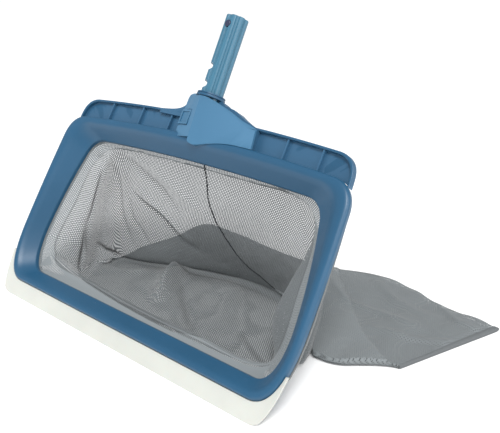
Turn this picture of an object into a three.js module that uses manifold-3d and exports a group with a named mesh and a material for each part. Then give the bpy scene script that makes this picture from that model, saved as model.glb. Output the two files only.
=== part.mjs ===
// Leaf skimmer net: a moulded rim with a funnel wall, a ribbed flange and a white scraper lip,
// a fluted handle tube in a two-part neck, and a deep mesh bag clamped behind the rim.
// Millimetres, +Z up. The rim leans back on its lip and the bag lies on the floor behind it.
// The rim, neck and tube are drawn in the rim's own plane: X across, Y up the rim, Z to its front.
import * as THREE from 'three';
import { mergeVertices } from 'three/addons/utils/BufferGeometryUtils.js';
import Module from 'manifold-3d';

const wasm = await Module();
wasm.setup();

// ---- driving dimensions ----
const LEAN = THREE.MathUtils.degToRad(33.6); // how far the rim leans back from upright
const GAP = 0.3; // clearance between pieces that touch

const OPENING = { // inner edge of the funnel
  halfBottom: 217.7, halfTop: 195.3, bottom: 40.2, top: 234.5,
  arch: 5.7, bow: 8, cornerBottom: 55, cornerTop: 22,
};
const RIM = { // front outer edge of the rim
  halfBottom: 238.8, halfTop: 237.5, bottom: 21.1, top: 257.7,
  arch: 11.3, bow: 3, cornerBottom: 70, cornerTop: 30,
};
const LIP = { ...RIM, halfBottom: 242.8, bottom: 0, cornerBottom: 60 }; // outer edge of the lip
const FLANGE = { // outer edge of the ribbed flange
  halfBottom: 231, halfTop: 225.5, bottom: 200, top: 286.7,
  arch: 9.4, bow: 0, cornerBottom: 10, cornerTop: 24,
};
const FUNNEL_DEPTH = 17; // rim's front edge to the funnel's inner edge
const RIM_DEPTH = 9; // rim's front edge to the back of its outer wall
const RIM_CLEARANCE = 1.015; // where the flange starts, as a share of the way across the rim
const HEM_FACE = -22; // back face that the hem is clamped against
const FLANGE_LOW = 222; // height up the rim where the flange starts
const FLANGE_FRONT = -5.5; // front of its raised edge
const FLANGE_FLOOR = -11; // front of its plate
const FLANGE_BACK = -13.5;
const FLANGE_EDGE = 3; // thickness of the raised edge
const RIB_FRONT = -7;
const RIB_WIDTH = 2.2;
const RIB_PLACES = [-170.5, -111, -56, 132.5, 182];
const LIP_TOP = 52; // height up the rim where the lip ends
const LIP_FLOOR = 3.5; // depth of the lip's flat underside

const TUBE_RADIUS = 14.3;
const TUBE_BORE = 11.8;
const TUBE_LENGTH = 101.5; // above the collar
const TUBE_INSERT = 36; // inside the neck
const TUBE_TILT = 0.075; // tube leans forward of the rim's plane, radians
const TUBE_FOOT = new THREE.Vector3(0, 320.7, -3.6);
const FLUTE_COUNT = 8;
const FLUTE_DEPTH = 1.2;
const SOCKET_RADIUS = TUBE_RADIUS + GAP;
const CLIP_HOLE_HEIGHT = 89.5;
const CLIP_HOLE_RADIUS = 4.6;
const NOTCH_HEIGHTS = [11.7, 34.4];
const NOTCH_RADIUS = 5;
const NOTCH_OFFSET = 13.7; // notch's middle to the tube's axis
const NOTCH_TURN = THREE.MathUtils.degToRad(36); // round the tube from its left side to the front
const COLLAR_RADIUS = 18;

const CORE_BACK = -20;
const CORE_FRONT = -4;
const CREST = { x: -2, low: 6, high: 12.5, from: 257, to: 316 }; // ridge down the hood's front
const NECK_LEFT = -34;
const NECK_RIGHT = 88;
const HOOD_RIGHT = 93;
const COVER_BACK = -27;
const COVER_HALF = 25;
const PIN_HEIGHT = 308;

const SIDE_STEPS = 6; // points along each straight stretch of half an outline
const CORNER_STEPS = 6; // spans round each of its corners
const RETAINER_SCREWS = 10;
const BAG_WALL = 2.4;
const BAG_LAPS = 12; // rings along the bag

const blue = 0x4279a5;
const deepBlue = 0x31607f;
const paleBlue = 0x5384ac;
const white = 0xc4c6bf;
const mesh = 0x8b9396;
const steel = 0xb9bdc0;
const navy = 0x252c48;

// ---- shared geometry helpers ----

const lerp = THREE.MathUtils.lerp;

/** Half of a rounded outline, from the bottom middle up the right side to the top middle. */
function halfOutline(size) {
  const { halfBottom, halfTop, bottom, top, arch, bow, cornerBottom, cornerTop } = size;
  const height = top - bottom;
  const side = (t) => new THREE.Vector2(
    lerp(halfBottom, halfTop, t) + 4 * bow * t * (1 - t), bottom + height * t);
  const crown = (x) => new THREE.Vector2(x, top + arch * (1 - (x / halfTop) ** 2));
  const corner = (from, middle, to) =>
    new THREE.QuadraticBezierCurve(from, middle, to).getPoints(CORNER_STEPS).slice(1, -1);
  const floor = [];
  const rise = [];
  const roof = [];
  for (let i = 0; i < SIDE_STEPS; i += 1) {
    const t = i / (SIDE_STEPS - 1);
    floor.push(new THREE.Vector2((halfBottom - cornerBottom / 2) * t, bottom));
    rise.push(side(lerp(cornerBottom / height, 1 - cornerTop / height, t)));
    roof.push(crown((halfTop - cornerTop) * (1 - t)));
  }
  return [
    ...floor,
    ...corner(floor.at(-1), new THREE.Vector2(halfBottom, bottom), rise[0]),
    ...rise,
    ...corner(rise.at(-1), new THREE.Vector2(halfTop, top), roof[0]),
    ...roof,
  ];
}

/** The whole outline, anticlockwise from the bottom middle. */
function outline(size) {
  const right = halfOutline(size);
  const left = right.slice(1, -1).reverse().map((p) => new THREE.Vector2(-p.x, p.y));
  return [...right, ...left];
}

const openingLoop = outline(OPENING);
const rimLoop = outline(RIM);
const lipLoop = outline(LIP);

/** Loop part way from the opening's edge (0) to the rim's front edge (1), at one depth. */
function rimPath(across, depth) {
  return openingLoop.map((p, i) => {
    const q = p.clone().lerp(rimLoop[i], across);
    return new THREE.Vector3(q.x, q.y, depth);
  });
}

/** A closed geometry from a triangle list, turned so that its faces point out. */
function closedGeometry(points, triangles) {
  let volume = 0;
  const normal = new THREE.Vector3();
  for (const [a, b, c] of triangles) {
    volume += points[a].dot(normal.crossVectors(points[b], points[c]));
  }
  const geometry = new THREE.BufferGeometry().setFromPoints(points);
  geometry.setIndex(triangles.flatMap(([a, b, c]) => (volume > 0 ? [a, b, c] : [a, c, b])));
  return geometry;
}

/** Skin over rows of points. Rows close on themselves; the row list closes too, or gets end caps. */
function loft(rows, { cyclic = false } = {}) {
  const width = rows[0].length;
  const points = rows.flat();
  const triangles = [];
  const spans = cyclic ? rows.length : rows.length - 1;
  for (let i = 0; i < spans; i += 1) {
    const next = (i + 1) % rows.length;
    for (let j = 0; j < width; j += 1) {
      const k = (j + 1) % width;
      triangles.push([i * width + j, i * width + k, next * width + k]);
      triangles.push([i * width + j, next * width + k, next * width + j]);
    }
  }
  if (!cyclic) {
    const last = (rows.length - 1) * width;
    for (let j = 1; j < width - 1; j += 1) {
      triangles.push([0, j + 1, j]);
      triangles.push([last, last + j, last + j + 1]);
    }
  }
  return closedGeometry(points, triangles);
}

/** A hoop around the rim whose section is given as [across, depth] corners. */
function hoop(section) {
  return loft(section.map(([across, depth]) => rimPath(across, depth)), { cyclic: true });
}

function toSolid(geometry) {
  let bare = geometry.clone();
  bare.deleteAttribute('normal');
  bare.deleteAttribute('uv');
  bare = mergeVertices(bare, 1e-4);
  return new wasm.Manifold(new wasm.Mesh({
    numProp: 3,
    vertProperties: new Float32Array(bare.attributes.position.array),
    triVerts: new Uint32Array(bare.index.array),
  }));
}

function toGeometry(solid) {
  const { vertProperties, triVerts } = solid.getMesh();
  const geometry = new THREE.BufferGeometry();
  geometry.setAttribute('position', new THREE.BufferAttribute(vertProperties, 3));
  geometry.setIndex(new THREE.BufferAttribute(triVerts, 1));
  return geometry;
}

function shapeOf(points, holes = []) {
  const toVectors = (list) => list.map(([x, y]) => new THREE.Vector2(x, y));
  const shape = new THREE.Shape(toVectors(points));
  shape.holes = holes.map((hole) => new THREE.Path(toVectors(hole)));
  return shape;
}

/** A plate drawn in the rim's plane, between two depths. */
function plate(points, back, front) {
  const geometry = new THREE.ExtrudeGeometry(shapeOf(points), { depth: front - back, bevelEnabled: false });
  return geometry.translate(0, 0, back);
}

/** A bar whose section is drawn across the rim (x, depth), between two heights. */
function bar(points, low, high) {
  const flipped = points.map(([x, depth]) => [x, -depth]);
  const geometry = new THREE.ExtrudeGeometry(shapeOf(flipped), { depth: high - low, bevelEnabled: false });
  return geometry.rotateX(-Math.PI / 2).translate(0, low, 0);
}

/** A round bar along the rim's depth. */
function studAt(x, y, radius, back, front, sides = 16) {
  const geometry = new THREE.CylinderGeometry(radius, radius, front - back, sides);
  return geometry.rotateX(Math.PI / 2).translate(x, y, (front + back) / 2);
}

/** Moves a geometry drawn along the tube (Y up from the collar, Z to the front) to its place. */
function onTube(geometry) {
  return geometry.rotateX(TUBE_TILT).translate(TUBE_FOOT.x, TUBE_FOOT.y, TUBE_FOOT.z);
}

function tubeCylinder(radius, low, high, sides = 36) {
  const geometry = new THREE.CylinderGeometry(radius, radius, high - low, sides);
  return onTube(geometry.translate(0, (low + high) / 2, 0));
}

function cut(body, ...tools) {
  return tools.reduce((rest, tool) => rest.subtract(toSolid(tool)), body);
}

const leaning = new THREE.Group(); // everything drawn in the rim's plane
leaning.rotation.x = Math.PI / 2 - LEAN;
const standing = new THREE.Group(); // the bag, drawn upright behind the rim

function addPart(name, geometry, color, roughness, metalness = 0, parent = leaning) {
  const material = new THREE.MeshStandardMaterial({ color, roughness, metalness });
  const part = new THREE.Mesh(geometry, material);
  part.name = name;
  parent.add(part);
}

// ---- rim ----

/** Places spread evenly around the clamp, part way across the rim. */
function clampPlaces(count) {
  const loop = rimPath(0.36, 0);
  const curve = new THREE.CatmullRomCurve3(loop, true);
  const places = [];
  for (let i = 0; i < count; i += 1) {
    places.push(curve.getPointAt((i + 0.5) / count));
  }
  return places;
}

const screwPlaces = clampPlaces(RETAINER_SCREWS);

/** Section through the rim: its front skin from the outer edge in, then its back skin. */
const frontSkin = [[1, -2.5], [0.95, 0.8], [0.82, 2], [0.66, 1], [0.5, -2.5], [0, -FUNNEL_DEPTH]];
const backSkin = [
  [0, HEM_FACE], [0.1, HEM_FACE], [0.12, -17], [0.54, -5], [0.68, -2], [0.86, -1.6],
  [0.86, -RIM_DEPTH], [0.97, -RIM_DEPTH],
];
const rimSection = [...frontSkin, ...backSkin];

const neckOutline = [
  [NECK_LEFT, 258], [NECK_LEFT, 316], [-31.5, 318.6], [-22, 319.5], [12, 319.5], [21, 316.5],
  [27.6, 312], [45, 309.5], [56, 304], [70, 298.6], [NECK_RIGHT, 292.6], [NECK_RIGHT, 258],
];
/** Curve of the flange's edge up to the left side of the neck. */
const neckFillet = [
  [-78, 289], [-78, 294.5], [-56, 296.8], [-44, 299.8], [-37, 305], [NECK_LEFT, 312], [NECK_LEFT, 289],
];

const box = (left, low, right, high) => [[left, low], [right, low], [right, high], [left, high]];

const flangeLoop = (inset) => outline({
  ...FLANGE,
  halfBottom: FLANGE.halfBottom - inset,
  halfTop: FLANGE.halfTop - inset,
  top: FLANGE.top - inset,
}).map((p) => [p.x, p.y]);

/** Plate, raised edge and ribs above the rim, with the block that holds the tube's socket. */
function topFlange() {
  const back = FLANGE_BACK;
  const inner = toSolid(loft([rimPath(RIM_CLEARANCE, CORE_BACK - 5), rimPath(RIM_CLEARANCE, 10)]));
  const above = toSolid(plate(box(-300, FLANGE_LOW, 300, 340), back - 1, 10));
  const sheet = toSolid(plate(flangeLoop(0), back, FLANGE_FLOOR));
  const edge = toSolid(plate(flangeLoop(0), back, FLANGE_FRONT))
    .subtract(toSolid(plate(flangeLoop(FLANGE_EDGE), back - 1, 0)));
  const field = toSolid(plate(flangeLoop(FLANGE_EDGE / 2), back, 0));
  let whole = sheet.add(edge).add(toSolid(plate(neckFillet, back, FLANGE_FRONT)));
  for (const x of RIB_PLACES) {
    const rib = plate(box(x - RIB_WIDTH / 2, 240, x + RIB_WIDTH / 2, 300), back, RIB_FRONT);
    whole = whole.add(toSolid(rib).intersect(field));
  }
  const neck = toSolid(plate(neckOutline, CORE_BACK, CORE_FRONT));
  return toGeometry(cutNeck(whole.intersect(above).add(neck).subtract(inner)));
}

const NECK_SCREW_OUT = 20.5; // from the middle of the neck
const NECK_SCREW_LOW = 270;
const NECK_SCREW_HIGH = 301.5;
const neckScrews = box(-NECK_SCREW_OUT, NECK_SCREW_LOW, NECK_SCREW_OUT, NECK_SCREW_HIGH);

/** Room for the latch button in the neck, and the button itself: [x, depth] corners. */
const latchPocket = [
  [-33.6, 8], [-11.4, 16], [-11.4, 2.4], [-16.3, 0.6],
  [-16.3, -14], [-31.6, -14], [-31.6, -4.3], [-33.6, -4.3],
];
const latchSection = [
  [-33, -1.5], [-33, 0.8], [-12, 7.4], [-12, 5.3], [-17, 3.9], [-17, -6], [-31, -6], [-31, -1.2],
];
const LATCH_LOW = 278;
const LATCH_HIGH = 297;

const pinHole = (radius, half) => new THREE.CylinderGeometry(radius, radius, 2 * half, 16)
  .rotateZ(Math.PI / 2).translate(0, PIN_HEIGHT, -4.6);

/** Cuts the tube's socket, the collar's seat, the pin's hole and the latch's pocket. */
function cutNeck(body) {
  return cut(body,
    tubeCylinder(SOCKET_RADIUS, -TUBE_INSERT - GAP, 30),
    tubeCylinder(COLLAR_RADIUS + GAP, -3.8, 20),
    pinHole(2.8, 24.3),
    bar(latchPocket, LATCH_LOW - 0.6, LATCH_HIGH + 0.6),
    ...neckScrews.map(([x, y]) =>
      studAt(x, y, 1.9, COVER_BACK - 10, y === NECK_SCREW_HIGH ? 1 : -0.6)));
}

function frameRing() {
  const behind = toSolid(hoop([
    ...frontSkin.map(([across, depth]) => [across, depth - 1]), [0, -30], [1, -30],
  ]));
  let body = toSolid(hoop(rimSection));
  for (const place of screwPlaces) {
    body = body.add(toSolid(studAt(place.x, place.y, 4.2, HEM_FACE, 0)).intersect(behind));
  }
  body = cut(body, ...screwPlaces.map((place) => studAt(place.x, place.y, 1.9, -30, -12)));
  return toGeometry(cutNeck(body));
}

/** The white lip: a wedge outside the rim, from one side round the bottom to the other. */
function scraperLip() {
  const count = rimLoop.length;
  const floorRise = LIP_FLOOR * Math.tan(LEAN) / RIM.bottom;
  const reach = rimLoop.findIndex((p) => p.y > LIP_TOP);
  const place = (p, depth) => new THREE.Vector3(p.x, p.y, depth);
  const rows = [];
  for (let i = -reach; i <= reach; i += 1) {
    const inner = rimLoop[(i + count) % count];
    const outer = lipLoop[(i + count) % count].clone();
    const level = THREE.MathUtils.clamp((2 * inner.y - LIP_TOP) / LIP_TOP, 0, 1);
    outer.y = lerp(outer.y, inner.y, level);
    const away = outer.clone().sub(inner).normalize();
    const seat = inner.clone().addScaledVector(away, GAP + 0.1);
    const foot = outer.clone().lerp(seat, floorRise);
    rows.push([
      place(seat, -1.4), place(outer.clone().lerp(seat, 0.1), 0), place(outer, 0),
      place(foot, -LIP_FLOOR), place(seat, -RIM_DEPTH + 0.4),
    ]);
  }
  return loft(rows);
}

// ---- clamp behind the rim ----

function netRetainer() {
  const ring = toSolid(hoop([[0.02, -23.6], [0.02, -26.8], [0.56, -26.8], [0.56, -23.6]]));
  return toGeometry(cut(ring, ...screwPlaces.map((p) => studAt(p.x, p.y, 2, -30, -20))));
}

function hemBand() {
  const ring = toSolid(hoop([[0, -22.3], [0, -23.3], [0.54, -23.3], [0.54, -22.3]]));
  return toGeometry(cut(ring, ...screwPlaces.map((p) => studAt(p.x, p.y, 2.4, -30, -20))));
}

function hemCord() {
  const section = [];
  const sides = 6;
  for (let i = 0; i < sides; i += 1) {
    const angle = (i / sides) * Math.PI * 2;
    section.push([0.69 + 0.07 * Math.cos(angle), -22 + 1.7 * Math.sin(angle)]);
  }
  return hoop(section);
}

/** A pan-head screw along the rim's depth, driven from the back. */
function panScrew(x, y, headFace, tip, headRadius, shankRadius) {
  const profile = [
    [0, headFace - 2], [headRadius * 0.75, headFace - 2], [headRadius, headFace - 0.9],
    [headRadius, headFace], [shankRadius, headFace], [shankRadius, tip - 1.5], [0, tip],
  ];
  const turned = new THREE.LatheGeometry(profile.map(([r, z]) => new THREE.Vector2(r, z)), 10);
  return turned.rotateX(Math.PI / 2).translate(x, y, 0);
}

// ---- neck and handle ----

const hoodOutline = [
  [NECK_LEFT, 262], [NECK_LEFT, 314], [-31.5, 317.4], [-22, 318.4], [-4, 317], [19.5, 312.5],
  [45, 305.3], [63, 298], [87.5, 291.8], [91.5, 266], [70, 267.4], [46, 265], [24, 260], [7, 255],
  [CREST.x, 258], [CREST.x, 264],
];

/** Front cover of the neck: a low ridge with a wing to the right. */
function neckHood() {
  const section = (height) => {
    const t = (height - CREST.from) / (CREST.to - CREST.from);
    const back = CORE_FRONT + GAP;
    return [
      [NECK_LEFT, back], [NECK_LEFT, -2], [CREST.x, lerp(CREST.low, CREST.high, t)],
      [HOOD_RIGHT, 0.5], [HOOD_RIGHT, back],
    ].map(([x, depth]) => new THREE.Vector3(x, height, depth));
  };
  const block = toSolid(loft([section(244), section(326)]));
  const rimRoom = hoop([
    ...frontSkin.map(([across, depth]) => [across + 0.02, depth + 2 * GAP]), [-0.02, -30], [1.04, -30],
  ]);
  const hood = block.intersect(toSolid(plate(hoodOutline, -10, 20))).subtract(toSolid(rimRoom));
  return toGeometry(cutNeck(hood));
}

function neckRearCover() {
  const back = COVER_BACK;
  const face = CORE_BACK - GAP;
  const edge = COVER_HALF - 1.5;
  const section = [
    [-COVER_HALF, face], [COVER_HALF, face], [COVER_HALF, back + 1.5],
    [edge, back], [-edge, back], [-COVER_HALF, back + 1.5],
  ];
  return toGeometry(cutNeck(toSolid(bar(section, 265, 311))));
}

/** Outline of the fluted tube: eight flat grooves between round ridges. */
function flutedOutline() {
  const pitch = (2 * Math.PI) / FLUTE_COUNT;
  const points = [];
  const put = (radius, angle) => {
    points.push(new THREE.Vector2(radius * Math.cos(angle), radius * Math.sin(angle)));
  };
  for (let i = 0; i < FLUTE_COUNT; i += 1) {
    const middle = i * pitch;
    put(TUBE_RADIUS - FLUTE_DEPTH, middle - 0.13);
    put(TUBE_RADIUS - FLUTE_DEPTH, middle + 0.13);
    for (const share of [0.24, 0.37, 0.5, 0.63, 0.76]) {
      put(TUBE_RADIUS, middle + share * pitch);
    }
  }
  return points;
}

function handleTube() {
  const shape = new THREE.Shape(flutedOutline());
  const bore = new THREE.Path();
  bore.absarc(0, 0, TUBE_BORE, 0, Math.PI * 2, true);
  shape.holes = [bore];
  const length = TUBE_LENGTH + TUBE_INSERT;
  const wall = new THREE.ExtrudeGeometry(shape, { depth: length, bevelEnabled: false, curveSegments: 20 });
  const stock = toSolid(onTube(wall.rotateX(-Math.PI / 2).translate(0, -TUBE_INSERT, 0)));
  const across = (radius, height) => onTube(new THREE.CylinderGeometry(radius, radius, 60, 20)
    .rotateX(Math.PI / 2).translate(0, height, 0));
  const notch = (height) => onTube(new THREE.CylinderGeometry(NOTCH_RADIUS, NOTCH_RADIUS, 60, 24)
    .rotateX(Math.PI / 2).translate(-NOTCH_OFFSET, height, 0).rotateY(NOTCH_TURN));
  return toGeometry(cut(stock, across(CLIP_HOLE_RADIUS, CLIP_HOLE_HEIGHT),
    ...NOTCH_HEIGHTS.map(notch), pinHole(2.8, 30)));
}

function collarRing() {
  const profile = [
    [SOCKET_RADIUS + 0.05, -3.4], [COLLAR_RADIUS, -3.4], [COLLAR_RADIUS, 1], [COLLAR_RADIUS - 0.8, 1.8],
    [SOCKET_RADIUS + 0.05, 1.8], [SOCKET_RADIUS + 0.05, -3.4],
  ];
  return onTube(new THREE.LatheGeometry(profile.map(([r, y]) => new THREE.Vector2(r, y)), 40));
}

function latchButton() {
  const body = toSolid(bar(latchSection, LATCH_LOW, LATCH_HIGH));
  return toGeometry(cut(body, studAt(-24, (LATCH_LOW + LATCH_HIGH) / 2, 3.6, -8, -1)));
}

/** Coil behind the latch button, drawn at the length it has when the button is pressed. */
function latchSpring() {
  const turns = 5;
  const coil = new THREE.Curve();
  coil.getPoint = (t) => {
    const angle = t * turns * Math.PI * 2;
    return new THREE.Vector3(2.4 * Math.cos(angle), 2.4 * Math.sin(angle), lerp(-13.3, -4.2, t));
  };
  const wire = new THREE.Shape();
  wire.absarc(0, 0, 0.35, 0, Math.PI * 2);
  return new THREE.ExtrudeGeometry(wire, { steps: 40, curveSegments: 2, extrudePath: coil })
    .translate(-24, (LATCH_LOW + LATCH_HIGH) / 2, 0);
}

/** V clip inside the tube's end: two arms and the bend that joins them. */
function springClip() {
  const thick = 0.6;
  const line = (offset) => {
    const points = [];
    for (let i = 0; i <= 10; i += 1) {
      const angle = Math.PI + (Math.PI * i) / 10;
      points.push([(5 - offset) * Math.cos(angle), 57 + (5 - offset) * Math.sin(angle)]);
    }
    return [[-9.6 + offset, 83], ...points, [9.6 - offset, 83]];
  };
  const strip = new THREE.ExtrudeGeometry(shapeOf([...line(0), ...line(thick).reverse()]),
    { depth: 8, bevelEnabled: false });
  return onTube(strip.translate(0, 0, -4).rotateY(Math.PI / 2));
}

/** One button of the V clip: a domed head in the tube's hole, on a wider foot. */
function clipButton(side) {
  const profile = [
    [0, 6.6], [5.4, 6.6], [5.4, 8.4], [4.2, 8.4], [4.2, 14.2], [3.4, 14.9], [0, 15.2],
  ];
  const turned = new THREE.LatheGeometry(profile.map(([r, y]) => new THREE.Vector2(r, y)), 20);
  return onTube(turned.rotateX((side * Math.PI) / 2).translate(0, CLIP_HOLE_HEIGHT, 0));
}

// ---- bag ----

/**
 * Stations along the bag behind its mouth: left edge and right edge on the floor plan,
 * height of the middle, half height, and how square the section is.
 */
const bagStations = [
  { left: [-198, 170], right: [205, 126], middle: 84, half: 83.8, square: 5 },
  { left: [-180, 260], right: [207, 136], middle: 50, half: 49.8, square: 3.4 },
  { left: [-172, 330], right: [216, 143], middle: 26, half: 25.8, square: 2.6 },
  { left: [0, 328], right: [240, 152], middle: 16, half: 15.8, square: 2.4 },
  { left: [160, 352], right: [260, 166], middle: 11, half: 10.8, square: 2.2 },
  { left: [331, 323], right: [281, 177], middle: 6, half: 5.8, square: 2 },
];
const BAG_MOUTH = { // where the bag leaves the rim, and the sizes its first ring is turned about
  across: -0.03, depth: -22.4, halfWidth: 205, halfHeight: 97, centre: 138,
  floorPlan: 97, middle: 100, square: 6,
};
const ACROSS_SCALE = 30; // millimetres in one whole step across the rim
const MOUTH_RUN = 300; // how far the mouth's shape is carried straight back before it loosens
const MOUTH_END = 0.14; // share of the bag over which it does so
const UPRIGHT_END = 0.3; // share of the bag after which its rings stand upright
const BINDING_WIDTH = 5;
const SEAM_GAP = 0.6; // each panel stops this far short of a seam

/** Places on the outline where its straight stretches start and end. */
const floorEnd = SIDE_STEPS - 1;
const roofStart = 2 * (SIDE_STEPS + CORNER_STEPS - 1);
const roofMiddle = roofStart + SIDE_STEPS - 1;
const roofEnd = 2 * roofMiddle - roofStart;
/** Sewn panels, each between two places on the outline. The centre seam lies left of the middle. */
const bagPanels = {
  bag_floor_panel: [-floorEnd, floorEnd],
  bag_right_panel: [floorEnd, roofStart],
  bag_top_right_panel: [roofStart, roofMiddle + 1],
  bag_top_left_panel: [roofMiddle + 1, roofEnd],
  bag_left_panel: [roofEnd, 2 * roofMiddle - floorEnd],
};

/** Point of the rim's plane in the upright frame. */
function upright(point) {
  return point.clone().applyAxisAngle(new THREE.Vector3(1, 0, 0), Math.PI / 2 - LEAN);
}

const stationRows = [
  [-BAG_MOUTH.halfWidth, BAG_MOUTH.floorPlan, BAG_MOUTH.halfWidth, BAG_MOUTH.floorPlan,
    BAG_MOUTH.middle, BAG_MOUTH.halfHeight, BAG_MOUTH.square],
  ...bagStations.map((s) => [...s.left, ...s.right, s.middle, s.half, s.square]),
];

/** Smooth values between the bag's stations at a given progress from mouth to tail. */
function stationValues(progress) {
  const last = stationRows.length - 1;
  const at = progress * last;
  const i = Math.min(Math.floor(at), last - 1);
  const t = at - i;
  const around = [i - 1, i, i + 1, i + 2].map((k) => stationRows[THREE.MathUtils.clamp(k, 0, last)]);
  return stationRows[0].map((_, n) => {
    const [a, b, c, d] = around.map((row) => row[n]);
    return b + 0.5 * t * (c - a + t * (2 * a - 5 * b + 4 * c - d + t * (3 * (b - c) + d - a)));
  });
}

/** One closed ring of the bag at a given progress from mouth to tail, drawn in by an inset. */
function bagRing(progress, inset) {
  const [leftX, leftY, rightX, rightY, middle, half, square] = stationValues(progress);
  const across = new THREE.Vector3(rightX - leftX, rightY - leftY, 0);
  const reach = across.length() / 2;
  across.normalize();
  const centre = new THREE.Vector3((leftX + rightX) / 2, (leftY + rightY) / 2, middle);
  const upShare = THREE.MathUtils.smoothstep(progress, 0, UPRIGHT_END);
  const rimUp = new THREE.Vector3(0, Math.sin(LEAN), Math.cos(LEAN));
  const up = rimUp.lerp(new THREE.Vector3(0, 0, 1), upShare).normalize();
  const settle = THREE.MathUtils.smoothstep(progress, 0, MOUTH_END);
  return rimPath(BAG_MOUTH.across - inset / ACROSS_SCALE, BAG_MOUTH.depth).map((mouthPoint) => {
    const rise = (mouthPoint.y - BAG_MOUTH.centre) / BAG_MOUTH.halfHeight;
    const angle = Math.atan2(rise, mouthPoint.x / BAG_MOUTH.halfWidth);
    const [c, s] = [Math.cos(angle), Math.sin(angle)];
    const radius = (Math.abs(c) ** square + Math.abs(s) ** square) ** (-1 / square);
    const loose = centre.clone()
      .addScaledVector(across, (reach - inset) * radius * c)
      .addScaledVector(up, (half - inset) * radius * s);
    const fixed = upright(mouthPoint);
    fixed.y += progress * MOUTH_RUN;
    return fixed.lerp(loose, settle);
  });
}

/** Stretch of one of the bag's rings between two places, trimmed to leave a gap at the seams. */
function seamToSeam(progress, inset, first, last) {
  const ring = bagRing(progress, inset);
  const points = [];
  for (let i = first; i <= last; i += 1) {
    points.push(ring[(i + ring.length) % ring.length].clone());
  }
  const trim = (end, next) => end.lerp(next, SEAM_GAP / end.distanceTo(next));
  trim(points[0], points[1]);
  trim(points.at(-1), points.at(-2));
  return points;
}

/** One sewn panel of the bag: a thin sheet between two seams, from the mouth to the tail. */
function bagPanel(first, last) {
  const rows = [];
  for (let i = 0; i <= BAG_LAPS; i += 1) {
    const progress = i / BAG_LAPS;
    const outside = seamToSeam(progress, 0, first, last);
    const inside = seamToSeam(progress, BAG_WALL, first, last);
    rows.push([...outside, ...inside.reverse()]);
  }
  return sheetSkin(rows);
}

/** Skin over rows that each run out along one face of a sheet and back along the other. */
function sheetSkin(rows) {
  const width = rows[0].length;
  const triangles = [];
  const quad = (a, b, c, d) => triangles.push([a, b, c], [a, c, d]);
  for (let i = 0; i < rows.length - 1; i += 1) {
    for (let j = 0; j < width; j += 1) {
      const k = (j + 1) % width;
      quad(i * width + j, i * width + k, (i + 1) * width + k, (i + 1) * width + j);
    }
  }
  const last = (rows.length - 1) * width;
  for (let j = 0; j < width / 2 - 1; j += 1) {
    const across = width - 1 - j;
    quad(j, across, across - 1, j + 1);
    quad(last + j, last + j + 1, last + across - 1, last + across);
  }
  return closedGeometry(rows.flat(), triangles);
}

/** Folded binding that closes the end of the tail. */
function bagEndBinding() {
  const end = bagRing(1, 0);
  const before = bagRing(0.95, 0);
  const middle = (ring) => ring.reduce((sum, p) => sum.add(p), new THREE.Vector3()).divideScalar(ring.length);
  const outward = middle(end).sub(middle(before)).setZ(0).normalize();
  const moved = (distance) => end.map((p) => p.clone().addScaledVector(outward, distance));
  return loft([moved(GAP), moved(BINDING_WIDTH)]);
}

// ---- assembly ----

addPart('frame_ring', frameRing(), blue, 0.42);
addPart('top_flange', topFlange(), blue, 0.42);
addPart('scraper_lip', scraperLip(), white, 0.6);
addPart('net_retainer', netRetainer(), deepBlue, 0.5);
addPart('hem_band', hemBand(), mesh, 0.9);
addPart('hem_cord', hemCord(), mesh, 0.9);
screwPlaces.forEach((place, i) => {
  addPart(`retainer_screw_${i + 1}`, panScrew(place.x, place.y, -27.1, -14, 3.6, 1.6), steel, 0.3, 1);
});
addPart('neck_hood', neckHood(), paleBlue, 0.42);
addPart('neck_rear_cover', neckRearCover(), blue, 0.42);
neckScrews.forEach(([x, y], i) => {
  addPart(`neck_screw_${i + 1}`, panScrew(x, y, COVER_BACK - GAP, -1.2, 3, 1.6), steel, 0.3, 1);
});
addPart('handle_tube', handleTube(), paleBlue, 0.42);
addPart('handle_cross_pin', pinHole(2.5, 24), steel, 0.3, 1);
addPart('collar_ring', collarRing(), blue, 0.42);
addPart('latch_button', latchButton(), blue, 0.42);
addPart('latch_spring', latchSpring(), steel, 0.3, 1);
addPart('spring_clip', springClip(), steel, 0.35, 1);
addPart('clip_button_front', clipButton(1), navy, 0.5);
addPart('clip_button_rear', clipButton(-1), navy, 0.5);
Object.entries(bagPanels).forEach(([name, [first, last]]) => {
  addPart(name, bagPanel(first, last), mesh, 0.9, 0, standing);
});
addPart('bag_end_binding', bagEndBinding(), mesh, 0.9, 0, standing);

const skimmer = new THREE.Group();
skimmer.add(leaning, standing);
const extent = new THREE.Box3().setFromObject(skimmer, true);
const centre = extent.getCenter(new THREE.Vector3());
skimmer.position.set(-centre.x, -centre.y, -extent.min.z);

export default skimmer;
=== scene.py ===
"""Leaf skimmer net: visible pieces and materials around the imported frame. Lengths are in millimetres
until place() or ground() turns them into points of the frame, which is in metres."""
import math

import bmesh
import bpy
import numpy as np
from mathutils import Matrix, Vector, noise


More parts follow.
